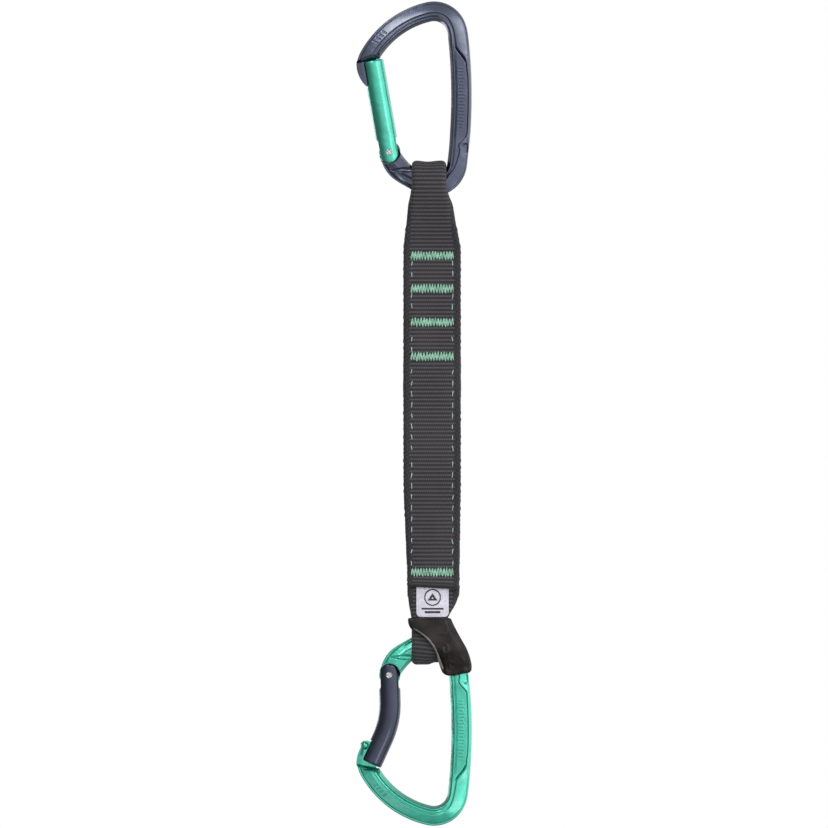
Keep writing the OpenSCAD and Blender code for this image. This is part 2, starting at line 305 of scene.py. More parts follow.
def anodised(name, colour, deep, rough, seal):
    """Dyed, sealed aluminium: satin and softly uneven, with grain, streaks and rubbed edges."""
    m = Material(name, Metallic=1.0, Coat_Weight=seal, Coat_Roughness=0.17, Coat_IOR=1.7)
    cloud = m.noise(90, 3)
    body = m.mix(m.range(cloud, 0.3, 0.7, 0, 1), deep, colour)
    edge = m.ramp(m.add("ShaderNodeNewGeometry").outputs["Pointiness"], (0.57, 0.0), (0.72, 1.0))
    rub = m.math("MULTIPLY", edge, m.range(m.noise(420, 4), 0.45, 0.65, 0, 0.16))
    pale = tuple(min(1.0, 0.6 * c + 0.28) for c in colour)
    m.set("Base Color", m.mix(rub, body, pale))
    grain = m.noise(3600, 3)
    streak = m.noise(700, 2, (1, 1, 0.12))
    m.set("Roughness", m.range(streak, 0.3, 0.7, rough - 0.05, rough + 0.07))
    m.bump((grain, 0.00002, 0.05), (streak, 0.00003, 0.05), (m.noise(95, 2), 0.0024, 0.45))
    return m.material


def bare_steel(name):
    """Bright steel with a mottled finish."""
    m = Material(name, Metallic=1.0)
    tone = m.ramp(m.noise(900, 3), (0.3, (0.42, 0.42, 0.43)), (0.7, (0.72, 0.72, 0.72)))
    m.set("Base Color", tone)
    m.set("Roughness", m.range(m.noise(1500, 2), 0.3, 0.7, 0.22, 0.42))
    m.bump((m.noise(4200, 2), 0.00002, 0.4))
    return m.material


def woven(name, low, high, sheen):
    """Woven nylon, with a painted highlight on each rib's crest and painted shade between the
    ribs. The attribute cloth holds metres across and along, and the rib's height.
    """
    m = Material(name, Sheen_Weight=sheen, Sheen_Roughness=0.45, Specular_IOR_Level=0.3)
    across, along, rib = m.cloth()
    # warp floats: short yarns standing on each rib, shifted by half on the next one; their
    # brightness on the rib's crest is a painted highlight
    half = m.math("MULTIPLY", m.math("FLOOR", m.math("DIVIDE", along, RIB * MM)), math.pi)
    turns = m.math("MULTIPLY", across, 2 * math.pi / (WARP * MM))
    yarn = m.stripes(m.math("ADD", turns, half))
    fuzz = m.noise(2600, 3)
    # painted highlight on each rib's crest, strongest on the warp yarns, and painted shade: the
    # colour darkens from the crest into the valleys between ribs
    crest_highlight = m.range(rib, 0.82, 1.0, 0, 1)
    tone = m.math("MULTIPLY", crest_highlight, m.range(yarn, 0.15, 0.85, 0.25, 1.0))
    tone = m.math("ADD", m.math("MULTIPLY", tone, 0.72), m.range(rib, 0, 0.8, 0.0, 0.24))
    tone = m.math("ADD", tone, m.range(fuzz, 0.25, 0.75, -0.12, 0.12))
    patch = m.noise(60, 3, (1, 1, 0.5))
    dyed = m.ramp(tone, (0.05, low), (0.9, high))
    worn = tuple(1.25 * c for c in high)
    m.set("Base Color", m.mix(m.range(patch, 0.3, 0.7, 0.0, 0.08), dyed, worn))
    m.set("Roughness", m.range(fuzz, 0.3, 0.7, 0.62, 0.85))
    m.bump((m.math("MULTIPLY", yarn, rib), 0.00012, 0.8), (fuzz, 0.00005, 0.5))
    return m.material


def thread(name, low, high, rough=0.5):
    """Twisted sewing thread: the twist is real, and its dark and pale stripes are painted shade
    and painted highlight along the plies. The attribute cloth holds metres round and along the
    thread.
    """
    m = Material(name, Sheen_Weight=0.25, Sheen_Roughness=0.4)
    girth, along, _ = m.cloth()
    ply = m.stripes(m.math("ADD", m.math("MULTIPLY", along, 2 * math.pi / TWIST_ALONG),
                           m.math("MULTIPLY", girth, 2 * math.pi / TWIST_ROUND)))
    # painted shade and highlight: the twist's stripes swing between the shaded and the lit colour
    # of the thread
    tone = m.math("ADD", m.math("MULTIPLY", ply, 0.6), m.range(m.noise(900, 3), 0.3, 0.7, 0, 0.4))
    m.set("Base Color", m.ramp(tone, (0.1, low), (0.8, high)))
    m.set("Roughness", m.range(ply, 0, 1, rough + 0.15, rough))
    m.bump((ply, 0.00008, 0.7))
    return m.material


def moulded_rubber(name, low, high, gloss):
    """Blotchy moulded rubber with a soft skin."""
    m = Material(name, Specular_IOR_Level=0.2, Coat_Weight=gloss, Coat_Roughness=0.1)
    m.set("Base Color", m.ramp(m.noise(110, 4), (0.42, low), (0.64, high)))
    m.set("Roughness", m.range(m.noise(170, 3), 0.3, 0.7, 0.2, 0.5))
    m.bump((m.noise(1700, 3), 0.00004, 0.4), (m.noise(130, 2), 0.0008, 0.5))
    return m.material


def label_cloth(name, low, high):
    """Fine satin label tape, with threads running both ways."""
    m = Material(name, Sheen_Weight=0.3, Sheen_Roughness=0.4)
    x, _, z = m.parts(m.place)
    weave = m.math("MULTIPLY", m.stripes(m.math("MULTIPLY", x, 2 * math.pi / TAPE_WARP)),
                   m.stripes(m.math("MULTIPLY", z, 2 * math.pi / TAPE_WEFT)))
    fleck = m.range(m.noise(700, 3), 0.3, 0.7, 0, 0.5)
    tone = m.math("ADD", m.math("MULTIPLY", weave, 0.5), fleck)
    m.set("Base Color", m.ramp(tone, (0.1, low), (0.8, high)))
    m.set("Roughness", m.range(weave, 0, 1, 0.75, 0.55))
    m.bump((weave, 0.00006, 0.6))
    return m.material


RIB = 1.75  # weft ribs of the webbing, along it
WARP = 0.80  # warp yarns, across it
TWIST_ALONG, TWIST_ROUND = 0.0007, 0.0006  # sewing thread, in metres
TAPE_WARP, TAPE_WEFT = 0.00042, 0.00036  # label tape, in metres

DARK = anodised("dark_anodised", (0.046, 0.060, 0.114), (0.034, 0.046, 0.094), 0.33, 1.0)
GREEN = anodised("green_anodised", (0.040, 0.535, 0.390), (0.026, 0.47, 0.335), 0.37, 1.0)
SLATE = anodised("slate_anodised", (0.028, 0.035, 0.072), (0.020, 0.027, 0.060), 0.36, 0.6)
STEEL = bare_steel("rivet_steel")
# the webbing's pale end is reached on the ribs' crests: a painted highlight
WEBBING = woven("webbing_nylon", (0.013, 0.0115, 0.0140), (0.120, 0.114, 0.122), 0.10)
# the threads' dark ends are painted shade and their pale ends painted highlight
TACK = thread("tack_thread", (0.06, 0.26, 0.16), (0.50, 0.86, 0.66))
RUNNING = thread("running_thread", (0.20, 0.33, 0.29), (0.56, 0.70, 0.64))
LABEL = label_cloth("label_tape", (0.60, 0.585, 0.68), (0.86, 0.84, 0.95))
PRINT = label_cloth("label_print", (0.018, 0.018, 0.024), (0.05, 0.05, 0.065))
RUBBER = moulded_rubber("keeper_rubber", (0.004, 0.003, 0.003), (0.030, 0.022, 0.019), 0.16)
# painted highlight: the bead along the sleeve's cut edge is painted pale grey
RUBBER_BEAD_HIGHLIGHT = moulded_rubber("keeper_bead_painted_highlight", (0.09, 0.085, 0.085), (0.17, 0.16, 0.16), 1.0)

# ---------------------------------------------------------------- carabiner bodies

HALF_DEPTH = 4.7  # of the bar, along Y
HALF_WIDTH = 4.4  # of the bar, in the carabiner's plane
REACH = 345.0  # between the insides of the two crowns
NOSE_START = (-29.4, -19.5)
NOSE_HEADING = 80
# (length, turn in degrees): nose, bow, crown, neck, spine, basket, tail
STRETCHES = (
    (5, -20), (33, -47), (15.2, -84), (3.5, -12.5), (57.4, -13.8), (20, -106), (21.4, -41),
)
# distances along the bar, from the nose
SPINE_FROM = 56.7
SPINE_TO = 114.1
TAIL_FROM = 134.1
BAR_LENGTH = 155.5
TAIL_SWELL = 1.2  # what the tail gains in half width
RIVET = (-19.4, -57.4)  # its axis, in X and Z


def centreline(s):
    """Point and heading of the bar's centreline at a distance from the nose."""
    (x, z), h = NOSE_START, math.radians(NOSE_HEADING)
    for length, turn in STRETCHES:
        run = min(s, length)
        r, t = length / math.radians(turn), math.radians(turn) * run / length
        x, z = x + r * (math.sin(h + t) - math.sin(h)), z + r * (math.cos(h) - math.cos(h + t))
        h += t
        s -= run
        if s <= 0:
            break
    return x, z, h


def outer_at(s):
    """The bar's half width on its outer side, where the tail swells."""
    return HALF_WIDTH + TAIL_SWELL * math.sin(math.pi * smooth((s - TAIL_FROM - 4) / 19.9))


def curve_at(s, table):
    """Smooth steps between (distance, value) pairs."""
    for (s0, v0), (s1, v1) in zip(table, table[1:]):
        if s <= s1:
            return v0 + (v1 - v0) * smooth((s - s0) / (s1 - s0))
    return table[-1][1]


# tables of (distance along the bar, value)
# where the outer facet meets the recess's floor, as a share of the half width
FACET_EDGE = (
    (0, -0.12), (44, -0.12), (54, -0.33), (61, -0.27), (69, 0.58), (76, 0.68), (100, 0.68),
    (105.5, -0.03), (107.5, 0.10), (120, -0.33), (132, 0.0), (BAR_LENGTH, 0.05),
)
# how deep the recess's floor lies below the bar's full depth
FLOOR_DEPTH = (
    (0, 0.42), (58, 0.42), (68, 0.95), (101, 0.95), (106, 0.5), (124, 0.42), (134, 0.15),
    (BAR_LENGTH, 0.15),
)
# how far the facet falls towards the bar's outer side
FACET_FALL = ((0, 1.6), (56, 1.6), (74, 0.5), (100, 0.5), (108, 1.5), (BAR_LENGTH, 1.5))
# the groove along the facet's foot
GROOVE_DEPTH = (
    (0, 0.25), (40, 0.25), (48, 0.05), (60, 0.05), (62.5, 0.7), (67, 0.7), (70, 0.12), (100, 0.10),
    (110, 0.10), (124, 0.2), (132, 0.0), (BAR_LENGTH, 0.0),
)
# what the bar gains in half width along its spine
WIDER = ((0, 0), (50, 0), (64, 0.15), (98, 0.15), (108, 0), (BAR_LENGTH, 0))
INNER_LIP = -0.55  # where the inner lip starts, as a share of the half width
MARK_PITCH = 1.45  # of the spine's grip marks
TICK_PITCH = 1.9  # of the bow's ticks


def face_depth(s, t, x, z):
    """Height of the front face over the bar's middle plane, over a ring's shares t."""
    outer_round = 1.7 + 3.0 * np.sqrt(np.clip(1 - np.clip((t - 0.5) / 0.5, 0, 1) ** 2, 0, 1))
    inner_round = 4.7 - 3.0 * np.clip((-t - 0.62) / 0.38, 0, 1) ** 1.4
    edge, floor = curve_at(s, FACET_EDGE), HALF_DEPTH - curve_at(s, FLOOR_DEPTH)
    fall = curve_at(s, FACET_FALL)
    facet = HALF_DEPTH - fall * np.clip((t - edge) / (0.9 - edge), 0, 1.3) ** 1.15
    lip = HALF_DEPTH - 0.15
    on_facet = smooth((t - edge + 0.07) / 0.13)
    on_lip = smooth((INNER_LIP - t + 0.05) / 0.11)
    groove = curve_at(s, GROOVE_DEPTH) * bell(t - edge, -0.10, 0.07)
    depth = floor - groove + (facet - floor) * on_facet + (lip - floor) * on_lip
    off_neck = 1 - smooth((s - 42) / 6) * smooth((68 - s) / 6)
    beside_lip = 0.22 * (1 - smooth((s - 124) / 8)) * off_neck
    depth = depth - beside_lip * bell(t, INNER_LIP + 0.09, 0.05)
    on_curve = 1 - smooth((s - SPINE_FROM - 4) / 12) * smooth((SPINE_TO - 9 - s) / 8)
    rim = 0.22 + 0.25 * smooth((s - TAIL_FROM + 4) / 4)
    depth = depth - rim * on_curve * bell(t, 0.80, 0.05)
    # plain raised grip marks on the spine's floor
    bars = smooth((s - SPINE_FROM - 13.5) / 1.5) * smooth((SPINE_TO - 15 - s) / 1.5)
    if bars > 0:
        run = (s - SPINE_FROM) / MARK_PITCH
        wave = smooth((math.cos(2 * math.pi * run) + 0.1) / 0.5)
        reach = 0.30 + 0.06 * math.cos(math.floor(run + 0.5) * 2.4)
        depth = depth + (0.13 * bars * wave * smooth((t + reach) / 0.08)
                         * smooth((reach - t) / 0.08))
    # shallow ticks on the bow, above the nose
    ticks = smooth((s - 9.5) / 0.6) * smooth((18 - s) / 0.6)
    if ticks > 0:
        slant = smooth((np.cos(2 * math.pi * (s + 1.2 * t) / TICK_PITCH) - 0.2) / 0.5)
        depth = depth - (0.10 * ticks * slant * smooth((t - 0.06) / 0.08)
                         * smooth((0.58 - t) / 0.08))
    # a scoop in the facet at the basket's end of the spine's recess
    depth = depth - 0.55 * smooth(1.2 - ((s - 107.0) / 3.0) ** 2 - ((t - 0.62) / 0.36) ** 2)
    if s > SPINE_TO + 6:
        # hinge end: a lens-shaped groove, and a hollow facet below it
        tall = 0.55 + 0.85 * smooth((x + 19) / 9)
        depth = depth - 1.1 * smooth(1.1 - ((x + 13.6) / 6.0) ** 2 - ((z + 65.3) / tall) ** 2)
        along = (s - 136.5) / 10.5
        depth = depth - 0.9 * smooth(1.2 - along ** 2 - ((t - 0.34) / 0.42) ** 2)
    return np.minimum(np.minimum(depth, outer_round), inner_round)


def bar_skin(name):
    """The whole forged bar, before the gate's room is cut."""
    face = 60       # points across each face
    lin = np.linspace(1, -1, face)
    t = 0.6 * lin + 0.4 * np.sin(lin * math.pi / 2)
    wall = (0.55, 0.0, -0.55)
    stations = list(np.arange(0, 8, 0.45)) + list(np.arange(8, 19.5, 0.18))
    stations += list(np.arange(19.5, SPINE_FROM + 12, 0.45))
    stations += list(np.arange(SPINE_FROM + 12, SPINE_TO - 10, 0.24))
    stations += list(np.arange(SPINE_TO - 10, TAIL_FROM - 2, 0.45))
    stations += list(np.arange(TAIL_FROM - 2, BAR_LENGTH, 0.2)) + [BAR_LENGTH]
    points = []
    for s in stations:
        cx, cz, h = centreline(s)
        nx, nz = -math.sin(h), math.cos(h)
        w = np.where(t > 0, outer_at(s), HALF_WIDTH) + curve_at(s, WIDER)
        x, z = cx + t * w * nx, cz + t * w * nz
        d = face_depth(s, t, x, z)
        front = [(x[k], -d[k], z[k]) for k in range(face)]
        back = [(x[k], d[k], z[k]) for k in range(face - 1, -1, -1)]
        inner = [(x[-1], -d[-1] * q, z[-1]) for q in wall]
        outer = [(x[0], d[0] * q, z[0]) for q in wall]
        points += front + inner + back + outer
    return add_mesh(name, points, ring_faces(len(stations), 2 * face + 2 * len(wall)))


def bar_outline(stations, margin):
    """Outline of a stretch of the bar, up one side and back down the other."""
    outline = []
    for side in (1, -1):
        for s in stations[::side]:
            cx, cz, h = centreline(s)
            w = (outer_at(s) if side > 0 else HALF_WIDTH) + curve_at(s, WIDER) + margin
            outline.append((cx - side * w * math.sin(h), cz + side * w * math.cos(h)))
    return outline


SHOULDER_R = 41.2  # end face of the bow, about the rivet
PLATE_R = 30.3  # lower end of the nose plate, about the rivet
RELIEF_R = 5.4  # room for the gate's fork, about the rivet
NOSE_C = (-20.5, -18.7)
NOSE_R = 13.2
TONGUE_T = 4.0  # thickness of the nose's and the hinge's tongue
GATE_R = 4.7
GATE_LEAN = 10  # of the straight gate, from Z
BODY_HOLE_R, GATE_HOLE_R = 1.30, 1.29
THROUGH = 20  # half depth of a cutter that goes right through
ROOM_RIGHT, ROOM_LEFT = -2, -60  # ends in X of the room that the gate swings in


def on_gate(lean, across, y, along):
    """Frame's place for a point given across, over and along a gate that leans from Z."""
    a = math.radians(lean)
    return (RIVET[0] + across * math.cos(a) + along * math.sin(a), y,
            RIVET[1] - across * math.sin(a) + along * math.cos(a))


def gate_prism(lean, corners, half):
    return prism([on_gate(lean, u, 0, v)[::2] for u, v in corners], half)


def beside_gate(from_axis, to_axis):
    """A slab along the straight gate, between two distances from its axis."""
    corners = ((from_axis, 0), (to_axis, 0), (to_axis, 60), (from_axis, 60))
    return gate_prism(-GATE_LEAN, corners, THROUGH)


def nose_bevel(side):
    """The wedge that leans the bar's end face away from the gate's tip."""
    wedge = ((40.9, 1.7), (41.2, 1.9), (43.9, 4.8), (43.9, 9), (40.9, 9))
    return cutter([on_gate(-GATE_LEAN, u, side * y, v) for u in (-9, 9) for v, y in wedge])


def nose_plate(to_axis, half):
    """Part of the nose plate: a disc between the plate's and the shoulder's radius."""
    plate = disc(NOSE_C, NOSE_R, half)
    boolean(plate, disc(RIVET, SHOULDER_R + 1, THROUGH, 256), "INTERSECT")
    boolean(plate, disc(RIVET, PLATE_R, THROUGH, 256))
    boolean(plate, beside_gate(-25, to_axis), "INTERSECT")
    if half > TONGUE_T / 2:
        # its faces fall a little towards the outside
        for v in plate.data.vertices:
            v.co.y *= 1 + 0.045 * min(0.0, v.co.x / MM + 28)
    return plate


def carabiner_body(name):
    """The forged bar with the gate's room cut out, its nose plate and its hinge tongue."""
    body = bar_skin(name)
    top = math.sqrt(SHOULDER_R ** 2 - (ROOM_RIGHT - RIVET[0]) ** 2)
    arc = [math.atan2(top, ROOM_RIGHT - RIVET[0]) + k * math.radians(2) for k in range(63)]
    shoulder = [polar(RIVET, SHOULDER_R, a) for a in arc]
    room = [(ROOM_RIGHT, RIVET[1] - 0.4)] + [p for p in shoulder if p[0] > ROOM_LEFT]
    room += [(ROOM_LEFT, RIVET[1] - 0.4)]
    boolean(body, prism(room, 15))
    boolean(body, disc(RIVET, RELIEF_R, 15))
    boolean(body, nose_plate(1.6, TONGUE_T / 2), "UNION")
    boolean(body, nose_plate(-GATE_R - 0.5, TONGUE_T / 2 + 1.5), "UNION")
    for side in (-1, 1):
        boolean(body, nose_bevel(side))
    # hinge tongue, with the cam that pushes the plunger
    cam = [(math.radians(a), 4.2 + 0.98 * math.radians(min(a, 40) + GATE_LEAN))
           for a in range(-24, 121, 4)]
    cam_points = [(RIVET[0] + r * math.sin(a), RIVET[1] + r * math.cos(a)) for a, r in cam[::-1]]
    tongue = prism([(RIVET[0], RIVET[1])] + cam_points, TONGUE_T / 2)
    boolean(tongue, disc(RIVET, 4.3, TONGUE_T / 2), "UNION")
    boolean(body, tongue, "UNION")
    tail = bar_outline([BAR_LENGTH - 0.5 * k for k in range(21)], -0.05)
    boolean(body, prism(tail, TONGUE_T / 2), "UNION")
    boolean(body, disc(RIVET, BODY_HOLE_R, THROUGH, 48))
    tidy_normals(body, 55)
    return body


EAR_R = 5.0  # round end of the fork, about the rivet
SLOT_HALF = TONGUE_T / 2 + 0.2
FORK_SLOT_R = 5.35  # round end of the fork's slot, about the rivet
NOSE_SLOT_R = 29.6  # inner end of the nose's slot, about the rivet
SINK_R, SINK_Y = 1.45, 5.35  # the hollow round a rivet head, and its middle along Y
BORE_R = 2.3
GATE_SIDES = 72
FLATS_TO = 6.5  # the flats beside the fork end below this height
# (height, what the radius gains) at both ends of a gate
FORK_END = (
    (-5.0, -4.6), (-5.0, -3.4), (-5.0, -2.2), (-5.0, -1.0), (-4.86, -0.55), (-4.6, -0.24),
    (-4.2, -0.06), (-3.7, 0),
)
TIP_END = ((1.0, 0), (0.55, -0.08), (0.25, -0.26), (0.08, -0.52), (0, -0.95))
FORK_HEIGHTS = (-3, -1.5, 0, 1.5, 3, 4.5, 5.2, 5.5, 5.8, 6.1, 6.4)


class Gate:
    """A tube from the fork over an arc to the tip."""

    def __init__(self, lean, side, foot, bend, turn, tip, bore, floor):
        self.lean, self.side, self.foot, self.bend = lean, side, foot, bend
        self.turn, self.tip, self.bore, self.floor = turn, tip, bore, floor

    def at(self, a, across, y, along):
        """Frame's place for a point past an angle of the bend."""
        q = self.bend + across
        return on_gate(self.lean, q * math.cos(a) - along * math.sin(a) - self.bend + self.side, y,
                       self.foot + q * math.sin(a) + along * math.cos(a))

    def skin(self, name, grow=0.0):
        """The gate's outside, grown by a gap."""
        # (angle in the bend, distance past it, radius)
        stations = [(0, h - self.foot, GATE_R + dr) for h, dr in FORK_END]
        stations += [(0, h - self.foot, GATE_R) for h in FORK_HEIGHTS]
        stations += [(0, h - self.foot, GATE_R) for h in np.arange(7, self.foot - 0.5, 1.5)]
        last = math.radians(self.turn)
        stations += [(a, 0, GATE_R) for a in np.linspace(0, last, 14 if self.turn else 1)]
        stations += [(last, d, GATE_R) for d in np.arange(1.5, self.tip - 1.2, 1.5)]
        stations += [(last, self.tip - h, GATE_R + dr) for h, dr in TIP_END]
        ring = [2 * math.pi * k / GATE_SIDES for k in range(GATE_SIDES)]
        points = []
        for a, d, r in stations:
            for b in ring:
                across = (r + grow) * math.cos(b)
                h = d + self.foot if a == 0 else 10
                if h < FLATS_TO:
                    # flats beside the fork, with a short shoulder above them
                    widest = 4 + 0.7 * smooth((h - 5.2) / 1.1) + grow
                    across = float(np.clip(across, -widest, widest))
                if h < 0:
                    h *= math.sqrt(1 - (across / (EAR_R + grow + 0.05)) ** 2)
                along = h - self.foot if h < 0 else d
                points.append(self.at(a, across, (r + grow) * math.sin(b), along))
        return add_mesh(name, points, ring_faces(len(stations), GATE_SIDES))

    def build(self, name):
        """The gate, with its fork, the spring's bore, the nose's slot and the rivet's hole."""
        obj = self.skin(name)
        boolean(obj, disc(RIVET, FORK_SLOT_R, SLOT_HALF))
        below = ((-12, -12), (12, -12), (12, 0), (-12, 0))
        boolean(obj, gate_prism(self.lean, below, SLOT_HALF))
        turn = [k * math.pi / 16 for k in range(32)]
        boolean(obj, cutter([on_gate(self.lean, *polar((self.side, 0), BORE_R, a), h)
                             for h in (2, self.bore) for a in turn]))
        last = math.radians(self.turn)
        corners = ((self.floor - 20, -20), (self.floor, -20), (self.floor, 10),
                   (self.floor - 20, 10))
        slot = prism([self.at(last, u, 0, self.tip + v)[::2] for u, v in corners], SLOT_HALF)
        boolean(slot, disc(RIVET, NOSE_SLOT_R, THROUGH + 1, 256))
        boolean(obj, slot)
        boolean(obj, disc(RIVET, GATE_HOLE_R, THROUGH, 48))
        for s in (-1, 1):
            boolean(obj, disc(RIVET, SINK_R, 1.0, 48, at=s * SINK_Y))
        tidy_normals(obj, 32)
        return obj


STRAIGHT = Gate(lean=-GATE_LEAN, side=0, foot=20, bend=1, turn=0, tip=21, bore=26, floor=2.0)
BENT = Gate(lean=1.5, side=0.2, foot=11.7, bend=37, turn=26, tip=12.1, bore=17, floor=3.4)


def flip(obj):
    """Moves an object of the upper carabiner to the lower one."""
    for v in obj.data.vertices:
        v.co.z = -REACH * MM - v.co.z
    tidy_normals(obj, 55)


def nose_bulb(name):
    """The rounded end of the lower nose's hook, clear of the gate."""
    rings = [[(-29.9 + 2.2 * math.cos(k * math.pi / 20) * math.cos(e), 3.5 * math.sin(e),
               -26.4 + 2.2 * math.sin(k * math.pi / 20) * math.cos(e)) for k in range(40)]
             for e in np.linspace(-1.5, 1.5, 17)]
    bulb = add_mesh(name, [p for ring in rings for p in ring], ring_faces(17, 40))
    boolean(bulb, BENT.skin("cutter", 0.35))
    flip(bulb)
    return bulb


upper_body = carabiner_body("upper_carabiner_body")
lower_body = new_object("lower_carabiner_body", upper_body.data.copy())
flip(lower_body)
boolean(lower_body, nose_bulb("cutter"), "UNION")
tidy_normals(lower_body, 55)
for obj, material, node, body, slot in (
    (upper_body, DARK, "upper_body", "upper_carabiner", "dark_anodised"),
    (lower_body, GREEN, "lower_body", "lower_carabiner", "green_anodised"),
):
    paint(obj, material)
    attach(obj, body)
    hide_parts(node)

# ---------------------------------------------------------------- gates and rivets


def build_rivet(name):
    """A pin whose two heads are peened over, with punch marks round a flat middle."""
    profile = ((0.05, 4.62), (0.3, 4.62), (0.5, 4.58), (0.7, 4.56), (0.9, 4.62), (1.1, 4.68),
               (1.25, 4.66), (1.36, 4.55), (1.38, 4.42), (1.25, 4.38), (1.25, 3.0))
    rings = [(r, -h) for r, h in profile] + [(r, h) for r, h in profile[::-1]]
    points = []
    for r, y in rings:
        for k in range(48):
            a = 2 * math.pi * k / 48
            punch = smooth((math.cos(4 * a + 0.4) - 0.15) / 0.6)
            mark = 0.45 * punch * math.exp(-((r - 0.92) / 0.3) ** 2)
            y_here = y - math.copysign(mark, y) if abs(y) > 4.5 else y
            x, z = polar(RIVET, r, a)
            points.append((x, y_here, z))
    return add_mesh(name, points, ring_faces(len(rings), 48), [STEEL], sharp=50)


for half, gate, colour, slot in (("upper", STRAIGHT, GREEN, "green_anodised"),
                                 ("lower", BENT, SLATE, "dark_anodised")):
    tube, pin = gate.build(f"{half}_gate_tube"), build_rivet(f"{half}_rivet_pin")
    paint(tube, colour)
    if half == "lower":
        flip(tube)
        flip(pin)
    for obj, node, material in ((tube, f"{half}_gate", slot), (pin, f"{half}_rivet", "steel")):
        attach(obj, f"{half}_gate_arm")
        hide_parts(node)

# ---------------------------------------------------------------- sling

BAR_Z = -70.9  # axis of the upper joint
LOW_Z = -274.1  # axis of the lower joint and of the lower loop
LOOP_R = 8.4  # middle of the strip round the lower loop, before its path is eased
TOP_R = 8.8  # the same for the upper loop
TOP_Z = -70.4  # axis of the upper loop
LOOP_RUN = 31  # from a loop's joint to where its two runs meet
STRIP_H = 0.74  # half of the strip's thickness
LAYER = 1.6  # between the middles of two layers
HALF_STRIP = 12.5
LOOP_X = (-9.4, 5.9)  # the strip's two edges in the loops
SLING_MID = -0.4
HEM_Z = -249.0
BEND_Z = -192.5
STEP = 0.35  # between two sections of the strip
EASE = 3.0  # half of the window that eases the path's bends
HIDDEN_RUN = 139  # length of the strip's last run, between the outer layers
HIDDEN_TOP = BAR_Z - 33  # where that run ends
CURL = 2.9  # length of the arc that folds an edge under
WOVEN_IN = 1.3  # width that the weave gives up before the strip folds
SELVEDGE = 9.2  # from here to the edge, the section has more points


def widen(z, slow):
    """How far the sling has widened at a height, from 0 in the loops to 1."""
    d = BAR_Z - z
    top = (0.14 * smooth((d - 1) / 5) + 0.16 * smooth((d - 5) / 6)
           + 0.70 * min(1, max(0, (d - 5) / 24)))
    low = (1 - slow) * smooth((z - LOW_Z - 9) / 14) + slow * smooth((z - LOW_Z - 26) / 50)
    return top * low


def tangent_from(y, z, r):
    """Angle at which a line from (y, z) touches a circle about the origin, on the +y side."""
    side = 1 if z > 0 else -1
    return math.atan2(z, y) - side * math.acos(r / math.hypot(y, z))


def loop_arc(axis_z, r, start, sweep, n=60):
    """Points in Y and Z round a loop's axis."""
    return [polar((0, axis_z), r, start - sweep * k / n) for k in range(n + 1)]


def sling_path():
    """Middle of the strip in Y and Z, from the front hem over both loops to its hidden end."""
    path = [(-4.3, HEM_Z), (-3.6, HEM_Z + 1.6), (-2.5, HEM_Z + 3.6), (-LAYER, HEM_Z + 5.4),
            (-LAYER, BAR_Z - LOOP_RUN)]
    q = tangent_from(LAYER, BAR_Z - LOOP_RUN - TOP_Z, TOP_R)
    path += loop_arc(TOP_Z, TOP_R, math.pi - q, math.pi - 2 * q)
    path += [(LAYER, BAR_Z - LOOP_RUN), (LAYER, LOW_Z + LOOP_RUN)]
    q = tangent_from(LAYER, LOOP_RUN, LOOP_R)
    p = tangent_from(0.6, LOOP_RUN, LOOP_R)
    path += loop_arc(LOW_Z, LOOP_R, q, math.pi + q + p)
    path += [(0, LOW_Z + LOOP_RUN), (0, HIDDEN_TOP)]
    return np.array(path)


def resample(points, step):
    """Evenly spaced points on a polyline, its bends eased over a few millimetres."""
    d = lengths_along(points)
    s = np.arange(0, d[-1], step)
    out = np.stack([np.interp(s, d, points[:, k]) for k in range(points.shape[1])], 1)
    ease = int(round(EASE / step))
    for _ in range(2):
        padded = np.concatenate([np.repeat(out[:1], ease, 0), out, np.repeat(out[-1:], ease, 0)])
        total = np.cumsum(np.concatenate([np.zeros((1, out.shape[1])), padded]), 0)
        out[1:-1] = ((total[2 * ease + 1:] - total[:-2 * ease - 1]) / (2 * ease + 1))[1:-1]
    return out, lengths_along(out)


def fold_half(a, u):
    """Where the flat coordinate u of half a strip goes when its visible half width is about a.
    The spare width curls under: returns distance across and depth below. build_webbing then
    scales the section to its exact width."""
    spare = HALF_STRIP - a
    if spare < 0.02:
        return u, np.zeros_like(u)
    # the weave takes up the first part, and only the rest folds
    taken = min(spare, WOVEN_IN)
    u, spare, reach = u * (1 - taken / HALF_STRIP), spare - taken, HALF_STRIP - taken
    if spare < 0.002:
        return u, np.zeros_like(u)
    theta = min(math.pi * 0.96, 1.44 * math.sqrt(spare))
    low, high = 2.0, reach
    want = a - STRIP_H * math.sin(min(theta, math.pi / 2)) * smooth(spare / 1.5)
    for _ in range(18):
        middle = (low + high) / 2
        widest = np.max(strip_curve(middle, theta, np.linspace(0, reach, 120))[0])
        low, high = (middle, high) if widest < want else (low, middle)
    return strip_curve((low + high) / 2, theta, u)


def strip_curve(flat, theta, u):
    """Flat up to a point, then an arc through theta, then straight on."""
    r = CURL / theta
    turn = np.clip((u - flat) / CURL, 0, 1) * theta
    on = np.clip(u - flat - CURL, 0, None)
    x = np.minimum(u, flat) + r * np.sin(turn) + on * math.cos(theta)
    return x, r * (1 - np.cos(turn)) + on * math.sin(theta)


